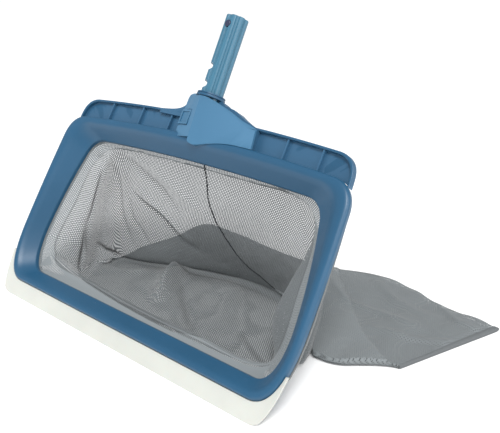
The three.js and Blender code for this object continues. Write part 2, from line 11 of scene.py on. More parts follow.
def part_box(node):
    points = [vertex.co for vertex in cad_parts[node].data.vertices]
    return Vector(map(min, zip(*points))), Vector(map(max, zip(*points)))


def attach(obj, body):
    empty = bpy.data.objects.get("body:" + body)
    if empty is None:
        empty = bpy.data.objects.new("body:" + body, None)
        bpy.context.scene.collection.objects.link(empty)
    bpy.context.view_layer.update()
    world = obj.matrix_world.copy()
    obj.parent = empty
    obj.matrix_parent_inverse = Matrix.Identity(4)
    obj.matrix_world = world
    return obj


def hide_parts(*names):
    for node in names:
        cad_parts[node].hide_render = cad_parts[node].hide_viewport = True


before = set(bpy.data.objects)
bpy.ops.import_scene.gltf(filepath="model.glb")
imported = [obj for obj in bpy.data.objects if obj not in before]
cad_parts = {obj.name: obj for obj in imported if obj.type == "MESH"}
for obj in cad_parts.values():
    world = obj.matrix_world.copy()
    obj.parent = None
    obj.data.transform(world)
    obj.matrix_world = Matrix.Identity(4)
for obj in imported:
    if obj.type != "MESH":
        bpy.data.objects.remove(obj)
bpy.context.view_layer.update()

# ---- driving dimensions, millimetres ----
MM = 0.001
LEAN = math.radians(33.6)  # how far the rim leans back
ACROSS = Vector((1, 0, 0))
UP_RIM = Vector((0, math.sin(LEAN), math.cos(LEAN)))
TO_FRONT = Vector((0, -math.cos(LEAN), math.sin(LEAN)))
PIN_MIDDLE = Vector((0, 308, -4.6))  # the tube's cross pin, in the rim's plane

OPENING = dict(half_bottom=217.7, half_top=195.3, bottom=40.2, top=234.5,
               arch=5.7, bow=8, corner_bottom=55, corner_top=22)
RIM = dict(half_bottom=238.8, half_top=237.5, bottom=21.1, top=257.7,
           arch=11.3, bow=3, corner_bottom=70, corner_top=30)
LIP = dict(RIM, half_bottom=242.8, bottom=0, corner_bottom=60)
FLANGE = dict(half_bottom=231, half_top=225.5, bottom=200, top=286.7,
              arch=9.4, bow=0, corner_bottom=10, corner_top=24)
RIM_BACK = -9
HEM_FACE = -22
FLANGE_FRONT = -5.5
FLANGE_FLOOR = -11
FLANGE_BACK = -13.5
RIB_FRONT = -7
RIB_WIDTH = 2.2
RIB_PLACES = (-170.5, -111, -56, 132.5, 182)
LIP_TOP = 54
LIP_FLOOR = 3.5

TUBE_RADIUS = 14.3
TUBE_BORE = 11.8
TUBE_LENGTH = 101.5
TUBE_INSERT = 36
TUBE_TILT = 0.075
TUBE_FOOT = (0, 320.7, -3.6)
FLUTES = 8
FLUTE_DEPTH = 1.7
FLUTE_HALF_ANGLE = 0.15
CLIP_HOLE = (89.5, 4.6)  # height and radius
NOTCHES = ((11.7, 5), (34.4, 5))
NOTCH_TURN = math.radians(36)
COLLAR_RADIUS = 18
SOCKET_RADIUS = TUBE_RADIUS + 0.3


def middle(node):
    low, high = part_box(node)
    return (low + high) / 2


def direction(vector):
    return ACROSS * vector[0] + UP_RIM * vector[1] + TO_FRONT * vector[2]


ORIGIN = middle("handle_cross_pin") - direction(PIN_MIDDLE) * MM


def place(point):
    """A point drawn in the rim's plane (across, up the rim, to its front) as a point of the frame."""
    return ORIGIN + direction(point) * MM


def ground(point):
    """A point drawn upright (x, y, height above the floor) as a point of the frame."""
    return ORIGIN + Vector(point) * MM


def on_tube(point):
    """A point drawn along the tube (across, along, to the front) as a point in the rim's plane."""
    x, along, front = point
    c, s = math.cos(TUBE_TILT), math.sin(TUBE_TILT)
    return (x + TUBE_FOOT[0], along * c - front * s + TUBE_FOOT[1], along * s + front * c + TUBE_FOOT[2])


# ---- camera ----

def make_camera():
    data = bpy.data.cameras.new("camera")
    data.lens = 50.4
    data.sensor_width = 36
    data.shift_x, data.shift_y = -0.0534, -0.0384
    data.clip_start, data.clip_end = 0.05, 60
    camera = add_object("camera", data)
    camera.location = ground((598.7, -416.4, 439.6))
    camera.rotation_euler = (math.radians(70.1), 0, math.radians(39.7))
    bpy.context.scene.camera = camera


# ---- mesh helpers ----

def add_object(name, data):
    obj = bpy.data.objects.new(name, data)
    bpy.context.scene.collection.objects.link(obj)
    return obj


def add_mesh(name, vertices, faces, smooth_angle=35):
    mesh = bpy.data.meshes.new(name)
    mesh.from_pydata([tuple(v) for v in vertices], [], [tuple(f) for f in faces])
    mesh.validate()
    obj = add_object(name, mesh)
    face_out(obj)
    smooth(obj, smooth_angle)
    return obj


def face_out(obj):
    work = bmesh.new()
    work.from_mesh(obj.data)
    bmesh.ops.recalc_face_normals(work, faces=work.faces)
    work.to_mesh(obj.data)
    work.free()


def smooth(obj, angle):
    obj.data.shade_smooth()
    obj.data.set_sharp_from_angle(angle=math.radians(angle))


def strip_faces(rows, width, close_rows, close_width):
    """Quads between rows of points; either direction may close on itself."""
    faces = []
    for i in range(rows if close_rows else rows - 1):
        for j in range(width if close_width else width - 1):
            a, b = i * width, ((i + 1) % rows) * width
            k = (j + 1) % width
            faces.append((a + j, a + k, b + k, b + j))
    return faces


def loft(name, rows, close_rows=False, smooth_angle=35):
    """A closed skin over closed rows of points, with flat ends unless the rows close too."""
    width = len(rows[0])
    points = [p for row in rows for p in row]
    faces = strip_faces(len(rows), width, close_rows, True)
    if not close_rows:
        faces.append(range(width))
        faces.append(range((len(rows) - 1) * width, len(rows) * width))
    return add_mesh(name, points, faces, smooth_angle)


def apply_modifiers(obj):
    bpy.context.view_layer.update()
    evaluated = obj.evaluated_get(bpy.context.evaluated_depsgraph_get())
    mesh = bpy.data.meshes.new_from_object(evaluated)
    obj.modifiers.clear()
    obj.data = mesh


def combine(obj, others, how):
    """Joins or cuts a mesh with others, which are used up."""
    for other in others:
        modifier = obj.modifiers.new("combine", "BOOLEAN")
        modifier.operation = how
        modifier.solver = "MANIFOLD"
        modifier.object = other
        apply_modifiers(obj)
        bpy.data.objects.remove(other)


def bevel(obj, width, segments, angle):
    modifier = obj.modifiers.new("bevel", "BEVEL")
    modifier.width = width * MM
    modifier.segments = segments
    modifier.limit_method = "ANGLE"
    modifier.angle_limit = math.radians(angle)
    modifier.use_clamp_overlap = True


def even_normals(obj, angle=35):
    smooth(obj, angle)
    modifier = obj.modifiers.new("normals", "WEIGHTED_NORMAL")
    modifier.keep_sharp = True


def curve_point(start, peak, end, t):
    return start * (1 - t) ** 2 + peak * 2 * t * (1 - t) + end * t * t


def rounded(corners, radii, steps=4):
    """Corners of a drawn outline replaced by short curves that start a radius from each corner."""
    points = []
    count = len(corners)
    for i, corner in enumerate(corners):
        here = Vector(corner)
        radius = radii[i]
        if radius == 0:
            points.append(tuple(here))
            continue
        before = Vector(corners[i - 1]) - here
        after = Vector(corners[(i + 1) % count]) - here
        start = here + before.normalized() * min(radius, before.length * 0.48)
        end = here + after.normalized() * min(radius, after.length * 0.48)
        for k in range(steps + 1):
            points.append(tuple(curve_point(start, here, end, k / steps)))
    return points


# ---- outlines in the rim's plane ----

STEPS = 26
CORNER_STEPS = 14


def half_outline(size):
    """From the bottom middle up the right side to the top middle."""
    height = size["top"] - size["bottom"]

    def side(t):
        x = size["half_bottom"] + (size["half_top"] - size["half_bottom"]) * t
        return Vector((x + 4 * size["bow"] * t * (1 - t), size["bottom"] + height * t))

    def crown(x):
        return Vector((x, size["top"] + size["arch"] * (1 - (x / size["half_top"]) ** 2)))

    def corner(start, peak, end):
        return [curve_point(start, peak, end, k / CORNER_STEPS) for k in range(1, CORNER_STEPS)]

    floor, rise, roof = [], [], []
    low, high = size["corner_bottom"] / height, 1 - size["corner_top"] / height
    for i in range(STEPS):
        t = i / (STEPS - 1)
        floor.append(Vector(((size["half_bottom"] - size["corner_bottom"] / 2) * t, size["bottom"])))
        rise.append(side(low + (high - low) * t))
        roof.append(crown((size["half_top"] - size["corner_top"]) * (1 - t)))
    bottom_peak = Vector((size["half_bottom"], size["bottom"]))
    top_peak = Vector((size["half_top"], size["top"]))
    return (floor + corner(floor[-1], bottom_peak, rise[0]) + rise
            + corner(rise[-1], top_peak, roof[0]) + roof)


def outline(size):
    right = half_outline(size)
    left = [Vector((-p.x, p.y)) for p in reversed(right[1:-1])]
    return right + left


opening_loop = outline(OPENING)
rim_loop = outline(RIM)
lip_loop = outline(LIP)


def rim_path(across, depth):
    """Loop part way from the opening's edge (0) to the rim's front edge (1), at one depth."""
    return [(p.x + (q.x - p.x) * across, p.y + (q.y - p.y) * across, depth)
            for p, q in zip(opening_loop, rim_loop)]


def placed(points):
    return [place(p) for p in points]


def hoop(name, section):
    """A closed ring that follows the rim, from a section of (share of the way across, depth)."""
    return loft(name, [placed(rim_path(a, d)) for a, d in section], True)


def plate(name, points, back, front):
    """A plate drawn in the rim's plane between two depths."""
    return loft(name, [placed([(x, y, depth) for x, y in points]) for depth in (back, front)])


def circle(radius, sides):
    angles = [2 * math.pi * k / sides for k in range(sides)]
    return [(radius * math.cos(a), radius * math.sin(a)) for a in angles]


def stud(name, x, y, radius, back, front):
    return plate(name, [(x + dx, y + dy) for dx, dy in circle(radius, 32)], back, front)


def tube_bar(name, radius, low, high):
    """A round bar along the tube's axis."""
    ring = circle(radius, 64)
    return loft(name, [placed([on_tube((x, along, z)) for x, z in ring]) for along in (low, high)])


def depth_bar(name, points, low, high):
    """A bar whose section is drawn across the rim (x, depth), between two heights."""
    return loft(name, [placed([(x, y, depth) for x, depth in points]) for y in (low, high)])


# ---- moulded rim ----

RIM_SCALE = 28  # millimetres that one whole step across the rim stands for in its section
RIM_CORNER_STEPS = 5
RIM_FACE_CORNERS = 7  # how many of the section's corners lie on the face, from the outer edge in
BOSS_RADIUS = 4.2
SCREW_HOLE_RADIUS = 1.9


def rim_section():
    corners = [
        (1, -2.5), (0.95, 0.8), (0.82, 2), (0.66, 1), (0.5, -2.5), (0, -17),
        (0, HEM_FACE), (0.1, HEM_FACE), (0.12, -17), (0.54, -5), (0.68, -2), (0.86, -1.6),
        (0.86, RIM_BACK), (0.97, RIM_BACK),
    ]
    radii = [1.4, 1.6, 2.2, 2.2, 2.6, 1.1, 0.6, 0.5, 0.8, 1, 1, 0.8, 0.5, 0.5]
    curve = rounded([(a * RIM_SCALE, d) for a, d in corners], radii, RIM_CORNER_STEPS)
    return [(a / RIM_SCALE, d) for a, d in curve]


def screw_places():
    """Middles of the clamp's screws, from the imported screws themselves."""
    places = []
    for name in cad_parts:
        if name.startswith("retainer_screw_"):
            offset = (middle(name) - ORIGIN) / MM
            places.append((offset.dot(ACROSS), offset.dot(UP_RIM)))
    return places


def make_rim():
    rim = hoop("rim_moulding", rim_section())
    screws = screw_places()
    combine(rim, [stud("boss", x, y, BOSS_RADIUS, HEM_FACE, -11) for x, y in screws], "UNION")
    combine(rim, [stud("hole", x, y, SCREW_HOLE_RADIUS, -30, -13) for x, y in screws], "DIFFERENCE")
    even_normals(rim)
    return rim


# ---- flange and neck ----

NECK_OUTLINE = [
    (-34, 258), (-34, 316), (-31.5, 318.6), (-22, 319.5), (12, 319.5), (21, 316.5), (27.6, 312),
    (45, 309.5), (56, 304), (70, 298.6), (88, 292.6), (88, 258),
]
NECK_FILLET = [(-78, 289), (-78, 294.5), (-56, 296.8), (-44, 299.8), (-37, 305), (-34, 312), (-34, 289)]
CORE_FRONT = -4
CORE_BACK = -20
CREST = dict(x=-2, low=6, high=12.5, start=257, end=316)
LATCH_POCKET = [(-33.6, 8), (-11.4, 16), (-11.4, 2.4), (-16.3, 0.6), (-16.3, -14), (-31.6, -14),
                (-31.6, -4.3), (-33.6, -4.3)]
LATCH_SPAN = (277.4, 297.6)
LATCH_CAP_SPAN = (278, 297)
LATCH_FACE = [(-33, 0.8), (-12, 7.4)]  # across and depth at the face's two sides
LATCH_RECESS = (-30.2, -14.8)
LATCH_RECESS_SPAN = (280.6, 294.4)
LATCH_RECESS_DEPTH = 1.1
HOOD_BACK = -3.7
HOOD_RIGHT = 93  # where the ridge's right slope ends
WING_EDGE = 0.5  # depth of the slope there
PANEL_LEFT = 40


def flange_outline(inset):
    shrunk = dict(FLANGE, half_bottom=FLANGE["half_bottom"] - inset,
                  half_top=FLANGE["half_top"] - inset, top=FLANGE["top"] - inset)
    return outline(shrunk)


def flange_shell():
    """The flange's plate with its raised edge, as a loft from the outer edge in and back."""
    section = rounded([(0, FLANGE_BACK), (0, FLANGE_FRONT), (2.8, FLANGE_FRONT), (3.1, FLANGE_FLOOR),
                       (24, FLANGE_FLOOR), (24, FLANGE_BACK)], [0.6, 1.1, 1.1, 1.6, 0, 0], steps=4)
    rows = [placed([(p.x, p.y, depth) for p in flange_outline(inset)]) for inset, depth in section]
    return loft("flange_moulding", rows, True)


def neck_cutters():
    return [
        tube_bar("socket", SOCKET_RADIUS, -TUBE_INSERT - 0.3, 30),
        tube_bar("seat", COLLAR_RADIUS + 0.3, -3.8, 20),
        depth_bar("pocket", LATCH_POCKET, *LATCH_SPAN),
    ]


def make_flange():
    flange = flange_shell()
    neck = plate("neck", rounded(NECK_OUTLINE, [0, 1.5, 2, 2, 3, 3, 3, 4, 6, 6, 1, 0]), CORE_BACK, CORE_FRONT)
    fillet = plate("fillet", rounded(NECK_FILLET, [0, 0, 6, 6, 4, 2, 0]), FLANGE_BACK, FLANGE_FRONT)
    sheet = plate("sheet", [(-216, 216), (216, 216), (206, 282), (-206, 282)], FLANGE_BACK, FLANGE_FLOOR)
    combine(flange, [sheet], "UNION")
    for x in RIB_PLACES:
        top = FLANGE["top"] + FLANGE["arch"] * (1 - (x / FLANGE["half_top"]) ** 2) - 1.2
        left, right = x - RIB_WIDTH / 2, x + RIB_WIDTH / 2
        corners = [(left, 240), (right, 240), (right, top), (left, top)]
        combine(flange, [plate("rib", corners, FLANGE_BACK, RIB_FRONT)], "UNION")
    combine(flange, [fillet, neck], "UNION")
    below = plate("below", [(-300, 180), (300, 180), (300, 222), (-300, 222)], CORE_BACK - 2, 12)
    inner = loft("inner", [placed(rim_path(0.985, CORE_BACK - 5)), placed(rim_path(0.985, 14))])
    combine(flange, [below, inner] + neck_cutters(), "DIFFERENCE")
    bevel(flange, 0.45, 2, 40)
    even_normals(flange)
    return flange


def ridge_at(height):
    t = (height - CREST["start"]) / (CREST["end"] - CREST["start"])
    return CREST["low"] + (CREST["high"] - CREST["low"]) * t


def hood_block():
    """Prism with a low ridge that rises towards the tube."""
    rows = []
    for height in (244, 326):
        section = [(-34, HOOD_BACK), (-34, -2), (CREST["x"], ridge_at(height)),
                   (HOOD_RIGHT, WING_EDGE), (HOOD_RIGHT, HOOD_BACK)]
        rows.append(placed([(x, height, depth) for x, depth in section]))
    return loft("neck_hood_shell", rows)


def wing_panel():
    """Cutter for the wing's sunk panel, which fades out towards the crest."""
    rows = []
    for height, fall in ((256, 0), (291.6, 0.03)):
        slope = (ridge_at(height) - WING_EDGE) / (HOOD_RIGHT - CREST["x"])
        start = ridge_at(height) - slope * (PANEL_LEFT - CREST["x"])
        section = [(PANEL_LEFT, start), (PANEL_LEFT + 20, start - slope * 20 - 0.9),
                   (HOOD_RIGHT + 1, WING_EDGE - 1.5), (HOOD_RIGHT + 1, 30), (PANEL_LEFT, 30)]
        rows.append(placed([(x, height - (x - PANEL_LEFT) * fall, depth) for x, depth in section]))
    return loft("wing_panel", rows)


def make_hood():
    hood = hood_block()
    corners = [
        (-34, 262), (-34, 314), (-31.5, 317.4), (-22, 318.4), (-4, 317), (19.5, 312.5), (45, 305.3),
        (63, 298), (87.5, 291.8), (91.5, 266), (70, 267.4), (46, 265), (24, 260), (7, 255), (CREST["x"], 258),
        (CREST["x"], 264),
    ]
    radii = [0, 1.5, 2, 2, 8, 4, 10, 10, 1, 1, 10, 10, 12, 6, 3, 0.5]
    outside = plate("outside", rounded(corners, radii, 5), -12, 24)
    combine(hood, [outside], "INTERSECT")
    combine(hood, [wing_panel()], "DIFFERENCE")
    face = rim_section()[:RIM_FACE_CORNERS * (RIM_CORNER_STEPS + 1)]
    room = hoop("room", [(a + 0.015, d + 0.3) for a, d in face] + [(-0.02, -30), (1.04, -30)])
    combine(hood, [room], "DIFFERENCE")
    bevel(hood, 0.9, 3, 28)
    apply_modifiers(hood)
    combine(hood, neck_cutters(), "DIFFERENCE")
    bevel(hood, 0.25, 2, 50)
    even_normals(hood, 28)
    return hood


def make_latch():
    """The square latch button: its face has a raised rim around a shallow recess."""
    (start, low), (end, high) = LATCH_FACE
    slope = (high - low) / (end - start)
    section = [(start, -1.5), *LATCH_FACE, (end, 5.3), (-17, 3.9), (-17, -6), (-31, -6), (-31, -1.2)]
    latch = depth_bar("latch_cap", section, *LATCH_CAP_SPAN)
    left, right = LATCH_RECESS
    floor_left, floor_right = (low + slope * (x - start) - LATCH_RECESS_DEPTH for x in LATCH_RECESS)
    recess_section = [(left, floor_left), (right, floor_right), (right, 20), (left, 20)]
    recess = depth_bar("recess", recess_section, *LATCH_RECESS_SPAN)
    combine(latch, [recess, stud("spring_seat", -24, 287.5, 3.6, -8, -1)], "DIFFERENCE")
    bevel(latch, 0.35, 3, 30)
    even_normals(latch, 30)
    return latch


# ---- handle ----

def flute_radius(angle):
    pitch = 2 * math.pi / FLUTES
    off = (angle + pitch / 2) % pitch - pitch / 2
    dip = 1 / (1 + (abs(off) / FLUTE_HALF_ANGLE) ** 8)
    return TUBE_RADIUS - FLUTE_DEPTH * dip


def make_tube():
    sides = 192
    angles = [2 * math.pi * k / sides for k in range(sides)]
    profile = [(TUBE_BORE, -TUBE_INSERT, 0), (None, -TUBE_INSERT, 0), (None, TUBE_LENGTH - 0.7, 0),
               (None, TUBE_LENGTH - 0.2, 0.25), (None, TUBE_LENGTH, 0.8), (TUBE_BORE + 0.4, TUBE_LENGTH, 0),
               (TUBE_BORE, TUBE_LENGTH - 0.4, 0)]
    rows = []
    for radius, along, inset in profile:
        ring = []
        for angle in angles:
            r = radius if radius else flute_radius(angle) - inset
            ring.append(on_tube((r * math.sin(angle), along, r * math.cos(angle))))
        rows.append(placed(ring))
    tube = loft("fluted_tube", rows, True)
    cutters = [cross_bar("clip_hole", *CLIP_HOLE, 0, 0)]
    for height, radius in NOTCHES:
        cutters.append(cross_bar("notch", height, radius, 0.6 - TUBE_RADIUS, NOTCH_TURN))
    combine(tube, cutters, "DIFFERENCE")
    bevel(tube, 0.3, 2, 40)
    even_normals(tube, 30)
    return tube


def cross_bar(name, height, radius, offset, turn):
    """A round bar across the tube: moved sideways by offset, then turned about the tube."""
    c, s = math.cos(turn), math.sin(turn)
    rows = []
    for front in (-30, 30):
        ring = []
        for aside, along in circle(radius, 48):
            x = offset + aside
            ring.append(on_tube((x * c + front * s, height + along, -x * s + front * c)))
        rows.append(placed(ring))
    return loft(name, rows)


def make_collar():
    inner = SOCKET_RADIUS + 0.05
    profile = rounded([
        (inner, -3.4), (COLLAR_RADIUS, -3.4), (COLLAR_RADIUS, -0.9), (COLLAR_RADIUS - 0.9, -0.7),
        (COLLAR_RADIUS - 0.9, 0), (COLLAR_RADIUS - 0.1, 0.2), (COLLAR_RADIUS - 0.3, 1.6),
        (COLLAR_RADIUS - 0.9, 1.8), (inner, 1.8),
    ], [0.2, 0.3, 0.3, 0.2, 0.2, 0.3, 0.4, 0.4, 0.5], steps=3)
    rows = [placed([on_tube((x, along, z)) for z, x in circle(radius, 72)]) for radius, along in profile]
    return loft("collar_band", rows, True)


# ---- scraper lip ----

def make_lip():
    count = len(rim_loop)
    rise = LIP_FLOOR * math.tan(LEAN) / RIM["bottom"]
    reach = next(i for i, p in enumerate(rim_loop) if p.y > LIP_TOP)
    rows = []
    for i in range(-reach, reach + 1):
        inner, outer = rim_loop[i % count], lip_loop[i % count].copy()
        level = min(1, max(0, (inner.y - LIP_TOP / 2) / (LIP_TOP / 2)))
        outer.y += (inner.y - outer.y) * level
        away = (outer - inner).normalized()
        seat = inner + away * 0.4
        foot = outer.lerp(seat, rise)
        top = outer.lerp(seat, 0.1)
        corners = [(*seat, -1.4), (*top, 0), (*outer, 0), (*foot, -LIP_FLOOR), (*seat, -8.6)]
        rows.append(placed(rounded(corners, [0.5, 0.3, 0.9, 0.8, 0.6], 3)))
    return loft("lip_wedge", rows)


# ---- mesh bag ----

# Places around the mouth that the bag is shaped by, as (across, up the rim), from the bottom left corner
# up the left side, along the top, down the right side and back along the bottom.
MOUTH_KEYS = [
    (-190, 40), (-217, 70), (-210, 130), (-200, 205), (-170, 236), (-85, 240), (0, 240.2),
    (85, 240), (170, 236), (199, 205), (208, 130), (217, 70), (190, 40), (100, 40), (0, 40), (-100, 40),
]
MOUTH_DEPTH = -22.9
# The hem's loose edge, a little in from the mouth and further back.
HEM_KEYS = [
    (-172, 62), (-207, 78), (-203, 130), (-195, 200), (-167, 230), (-85, 236), (0, 236.5),
    (85, 236), (166, 231), (193, 200), (200, 130), (203, 76), (180, 54), (98, 52.5), (0, 52.5), (-96, 56),
]
HEM_DEPTH = -31
FLOOR_Z = 1.2
TOP_Z = 4.2
# The bag's shape behind the hem, ring by ring, at the same places: (x, y, height) standing on the floor.
OPEN_RINGS = [
    [(-168, 86, 4), (-178, 96, 32), (-176, 114, 90), (-171, 138, 146), (-157, 158, 172), (-85, 160, 174),
     (0, 161, 174), (85, 160, 174), (160, 157, 170), (190, 144, 146), (177, 104, 86), (170, 93, 48),
     (190, 84, 6), (96, 72, 3), (0, 72, 3), (-92, 74, 3)],
    [(-182, 118, 2), (-200, 130, 14), (-200, 146, 60), (-190, 160, 112), (-158, 170, 124), (-84, 174, 116),
     (1, 178, 114), (84, 176, 114), (160, 166, 118), (196, 156, 108), (204, 128, 64), (202, 104, 20),
     (182, 108, 2), (97, 124, 1.4), (0, 128, 1.4), (-96, 120, 1.4)],
    [(-183, 142, 1.6), (-192, 147, 5), (-197, 152, 28), (-184, 162, 58), (-154, 175, 58), (-84, 190, 52),
     (1, 204, 50), (84, 202, 50), (156, 176, 52), (186, 152, 44), (197, 134, 22), (197, 118, 4),
     (180, 124, 1.4), (92, 168, 1.2), (0, 178, 1.2), (-93, 160, 1.2)],
]
CREASE = [(-176, 158, 1.5), (-183, 161, 2.4), (-187, 164, 3.6), (-178, 166, TOP_Z), (-149, 174, TOP_Z),
          (-83, 201, TOP_Z), (0, 226, TOP_Z), (81, 222, TOP_Z), (148, 184, TOP_Z), (176, 156, TOP_Z),
          (186, 143, 3.4), (187, 138, 2.2), (168, 150, FLOOR_Z), (86, 204, FLOOR_Z), (0, 210, FLOOR_Z),
          (-88, 186, FLOOR_Z)]
# Where the flat tail lies behind the crease: far end and near end of each ring on the floor, and its bow.
TAIL = [((-182, 206), (192, 137), 68), ((-173, 268), (202, 137), 56), ((-168, 333), (213, 138), 44),
        ((-70, 328), (228, 143), 32), ((50, 322), (243, 154), 22), ((150, 353), (259, 166), 13),
        ((248, 331), (271, 173), 5), ((331, 322), (281, 177), 0)]
# How far across the tail each key lies, on its top layer and on the floor.
TOP_SHARES = {3: 0.0, 4: 0.08, 5: 0.28, 6: 0.5, 7: 0.72, 8: 0.92, 9: 1.0}
FLOOR_SHARES = {12: 0.96, 13: 0.74, 14: 0.5, 15: 0.26, 0: 0.04}
# Columns per key and rows per ring: (first key or ring of a stretch, how many for each one in it).
BAG_COLUMNS = [(0.0, 46), (5.5, 24), (9.0, 20), (12.0, 26), (16.0, 0)]
BAG_ROWS = [(0.0, 24), (1.6, 42), (5.3, 22), (13.0, 0)]


def mouth_point(across, up, depth=MOUTH_DEPTH):
    """A point of the rim's plane in the frame that stands upright on the floor."""
    c, s = math.cos(LEAN), math.sin(LEAN)
    return (across, up * s - depth * c, up * c + depth * s)


def tail_ring(left, right, bow):
    """A flattened ring: its top layer, its floor layer and the two folded edges between them."""
    across = Vector(right) - Vector(left)
    onward = Vector((-across.y, across.x)).normalized()

    def between(share, height):
        place = Vector(left) + across * share + onward * bow * 4 * share * (1 - share)
        return (place.x, place.y, height)

    ring = [None] * len(MOUTH_KEYS)
    for key, share in TOP_SHARES.items():
        ring[key] = between(share, TOP_Z)
    for key, share in FLOOR_SHARES.items():
        ring[key] = between(share, FLOOR_Z)
    ring[1], ring[2] = between(-0.004, 2), between(-0.006, 3.2)
    ring[10], ring[11] = between(1.006, 3.2), between(1.004, 2)
    return ring


mouth_ring = [mouth_point(*key) for key in MOUTH_KEYS]
hem_ring = [mouth_point(*key, HEM_DEPTH) for key in HEM_KEYS]
tail_rings = [tail_ring(*ends) for ends in TAIL]
bag_rings = np.array([mouth_ring, hem_ring] + OPEN_RINGS + [CREASE] + tail_rings, float)


def spline(values, at, cyclic):
    """Smooth curve through rows of values at places counted in rows."""
    count = len(values)
    base = np.floor(at).astype(int)
    t = (at - base)[:, None]

    def pick(offset):
        index = base + offset
        return values[index % count] if cyclic else values[np.clip(index, 0, count - 1)]

    a, b, c, d = (pick(k).reshape(len(at), -1) for k in (-1, 0, 1, 2))
    out = b + 0.5 * t * (c - a + t * (2 * a - 5 * b + 4 * c - d + t * (3 * (b - c) + d - a)))
    return out.reshape((len(at),) + values.shape[1:])


def exact_mouth(key_places):
    """The mouth on the rim's own edge, at places counted in keys."""
    loop = np.array([mouth_point(x, y) for x, y, _ in rim_path(0, 0)])
    nearest = [int(np.argmin(((loop - corner) ** 2).sum(1))) for corner in bag_rings[0]]
    steps = np.array(nearest + [nearest[0] - len(loop) if nearest[0] > nearest[-1] else nearest[0]], float)
    for i in range(1, len(steps)):  # the loop runs the other way round, so its places fall
        while steps[i] > steps[i - 1]:
            steps[i] -= len(loop)
    at = np.interp(key_places, np.arange(len(steps)), steps)
    low = np.floor(at).astype(int)
    share = (at - low)[:, None]
    return loop[low % len(loop)] * (1 - share) + loop[(low + 1) % len(loop)] * share


def ease(low, high, x):
    t = np.clip((x - low) / (high - low), 0, 1)
    return t * t * (3 - 2 * t)


def ripple(points, scale, seed):
    """Smooth noise at points, for cloth that isn't quite flat."""
    offset = Vector((seed * 7.3, seed * 3.1, seed * 1.7))
    flat = points.reshape(-1, 3)
    out = [noise.noise(Vector(p) / scale + offset) for p in flat]
    return np.array(out).reshape(points.shape[:-1])


# Folds of the open bag: the places they run through as (key, ring), then their height towards the inside,
# half width and painted shade, which darkens the cloth where the fold lies in shade. Most of these places,
# and of the centre seam's, were worked out by another program.
FOLDS = [
    ([(4.13, 3.22), (4.40, 3.41), (4.67, 3.57), (4.90, 3.80), (5.07, 3.96)], -4.5, 4.0, 1.0),
    ([(4.30, 3.10), (4.62, 3.35), (4.92, 3.62), (5.25, 3.95)], 4.0, 7.0, 0.0),
    ([(5.07, 3.96), (5.23, 4.08), (5.42, 4.25)], -2.0, 7.0, 0.25),
    ([(4.00, 2.29), (4.30, 2.44), (4.60, 2.64), (4.90, 2.83), (5.07, 3.03), (5.23, 3.26)], -5.0, 8.0, 0.32),
    ([(4.2, 2.1), (4.8, 2.35), (5.4, 2.75), (5.85, 3.3)], 3.0, 10.0, 0.0),
    ([(3.50, 2.40), (3.57, 2.95), (3.47, 3.61), (3.53, 4.04), (3.80, 4.46)], -4.0, 4.6, 0.38),
    ([(3.90, 3.41), (3.90, 3.84), (4.10, 4.07), (4.33, 4.39)], -3.0, 4.0, 0.38),
    ([(3.30, 0.70), (3.40, 1.10), (3.44, 1.51)], -2.5, 6.0, 0.3),
    ([(2.93, 1.86), (2.53, 2.06), (2.13, 2.06), (1.73, 1.94)], -3.5, 4.4, 1.0),
    ([(1.80, 1.90), (1.47, 2.06), (1.10, 2.21)], -4.0, 7.0, 0.6),
    ([(1.67, 1.90), (1.30, 1.94), (0.90, 1.90), (0.20, 1.90)], -3.0, 4.6, 1.0),
    ([(1.43, 3.03), (1.70, 4.19), (2.53, 5.04)], -4.0, 4.4, 1.0),
    ([(0.17, 3.49), (0.07, 4.31), (0.60, 4.90)], -4.0, 4.4, 1.0),
    ([(14.95, 5.0), (14.75, 3.9), (14.50, 2.9)], 24.0, 13.0, 0.0),
    ([(14.53, 3.76), (14.20, 3.10), (13.80, 2.60), (13.50, 2.33)], -3.0, 10.0, 0.42),
    ([(13.7, 2.2), (13.3, 1.6), (12.95, 1.5)], -2.0, 5.0, 0.5),
    ([(13.9, 4.6), (13.4, 3.3)], 4.0, 14.0, 0.0),
    ([(15.8, 3.2), (15.3, 4.0), (15.05, 4.9)], 3.0, 10.0, 0.0),
    ([(12.95, 2.9), (12.57, 2.5), (12.2, 2.1)], -3.0, 6.0, 0.45),
    # These last two are a painted shadow on the floor's cloth along the crease.
    ([(15.9, 5.0), (15.4, 4.95), (15.0, 4.95), (14.5, 4.9), (14.0, 4.95), (13.2, 5.0)], 0.0, 26.0, 0.42),
    ([(15.9, 5.0), (15.4, 5.0), (15.0, 5.0), (14.5, 4.98), (14.0, 5.0), (13.2, 5.0)], 0.0, 8.0, 0.7),
]
# Ridges of the tail: the places they run through as (x, y) on the floor, then their height and half width.
TAIL_FOLDS = [
    ([(95, 300), (150, 262), (205, 262), (262, 258)], 3.6, 7.0),
    ([(150, 335), (205, 300), (262, 292)], 3.0, 8.0),
    ([(20, 300), (75, 262), (110, 225)], 3.0, 10.0),
    ([(212, 222), (262, 232), (318, 262)], 2.8, 6.0),
    ([(238, 338), (290, 300), (330, 300)], 2.2, 5.0),
    ([(-120, 320), (-60, 270), (-10, 240)], 3.0, 12.0),
]
# Plan line along which the tail's near part is folded over its far part.
TAIL_OVERLAP = [(84, 345), (105, 310), (152, 267), (209, 210), (255, 179), (284, 166)]
# The centre seam's places, as (key, ring).
CENTRE_SEAM = [(6.16, 0.05), (6.1, 1.2), (6.03, 2.33), (5.97, 2.91), (6.03, 3.53), (6.33, 4.35), (6.97, 5.1)]
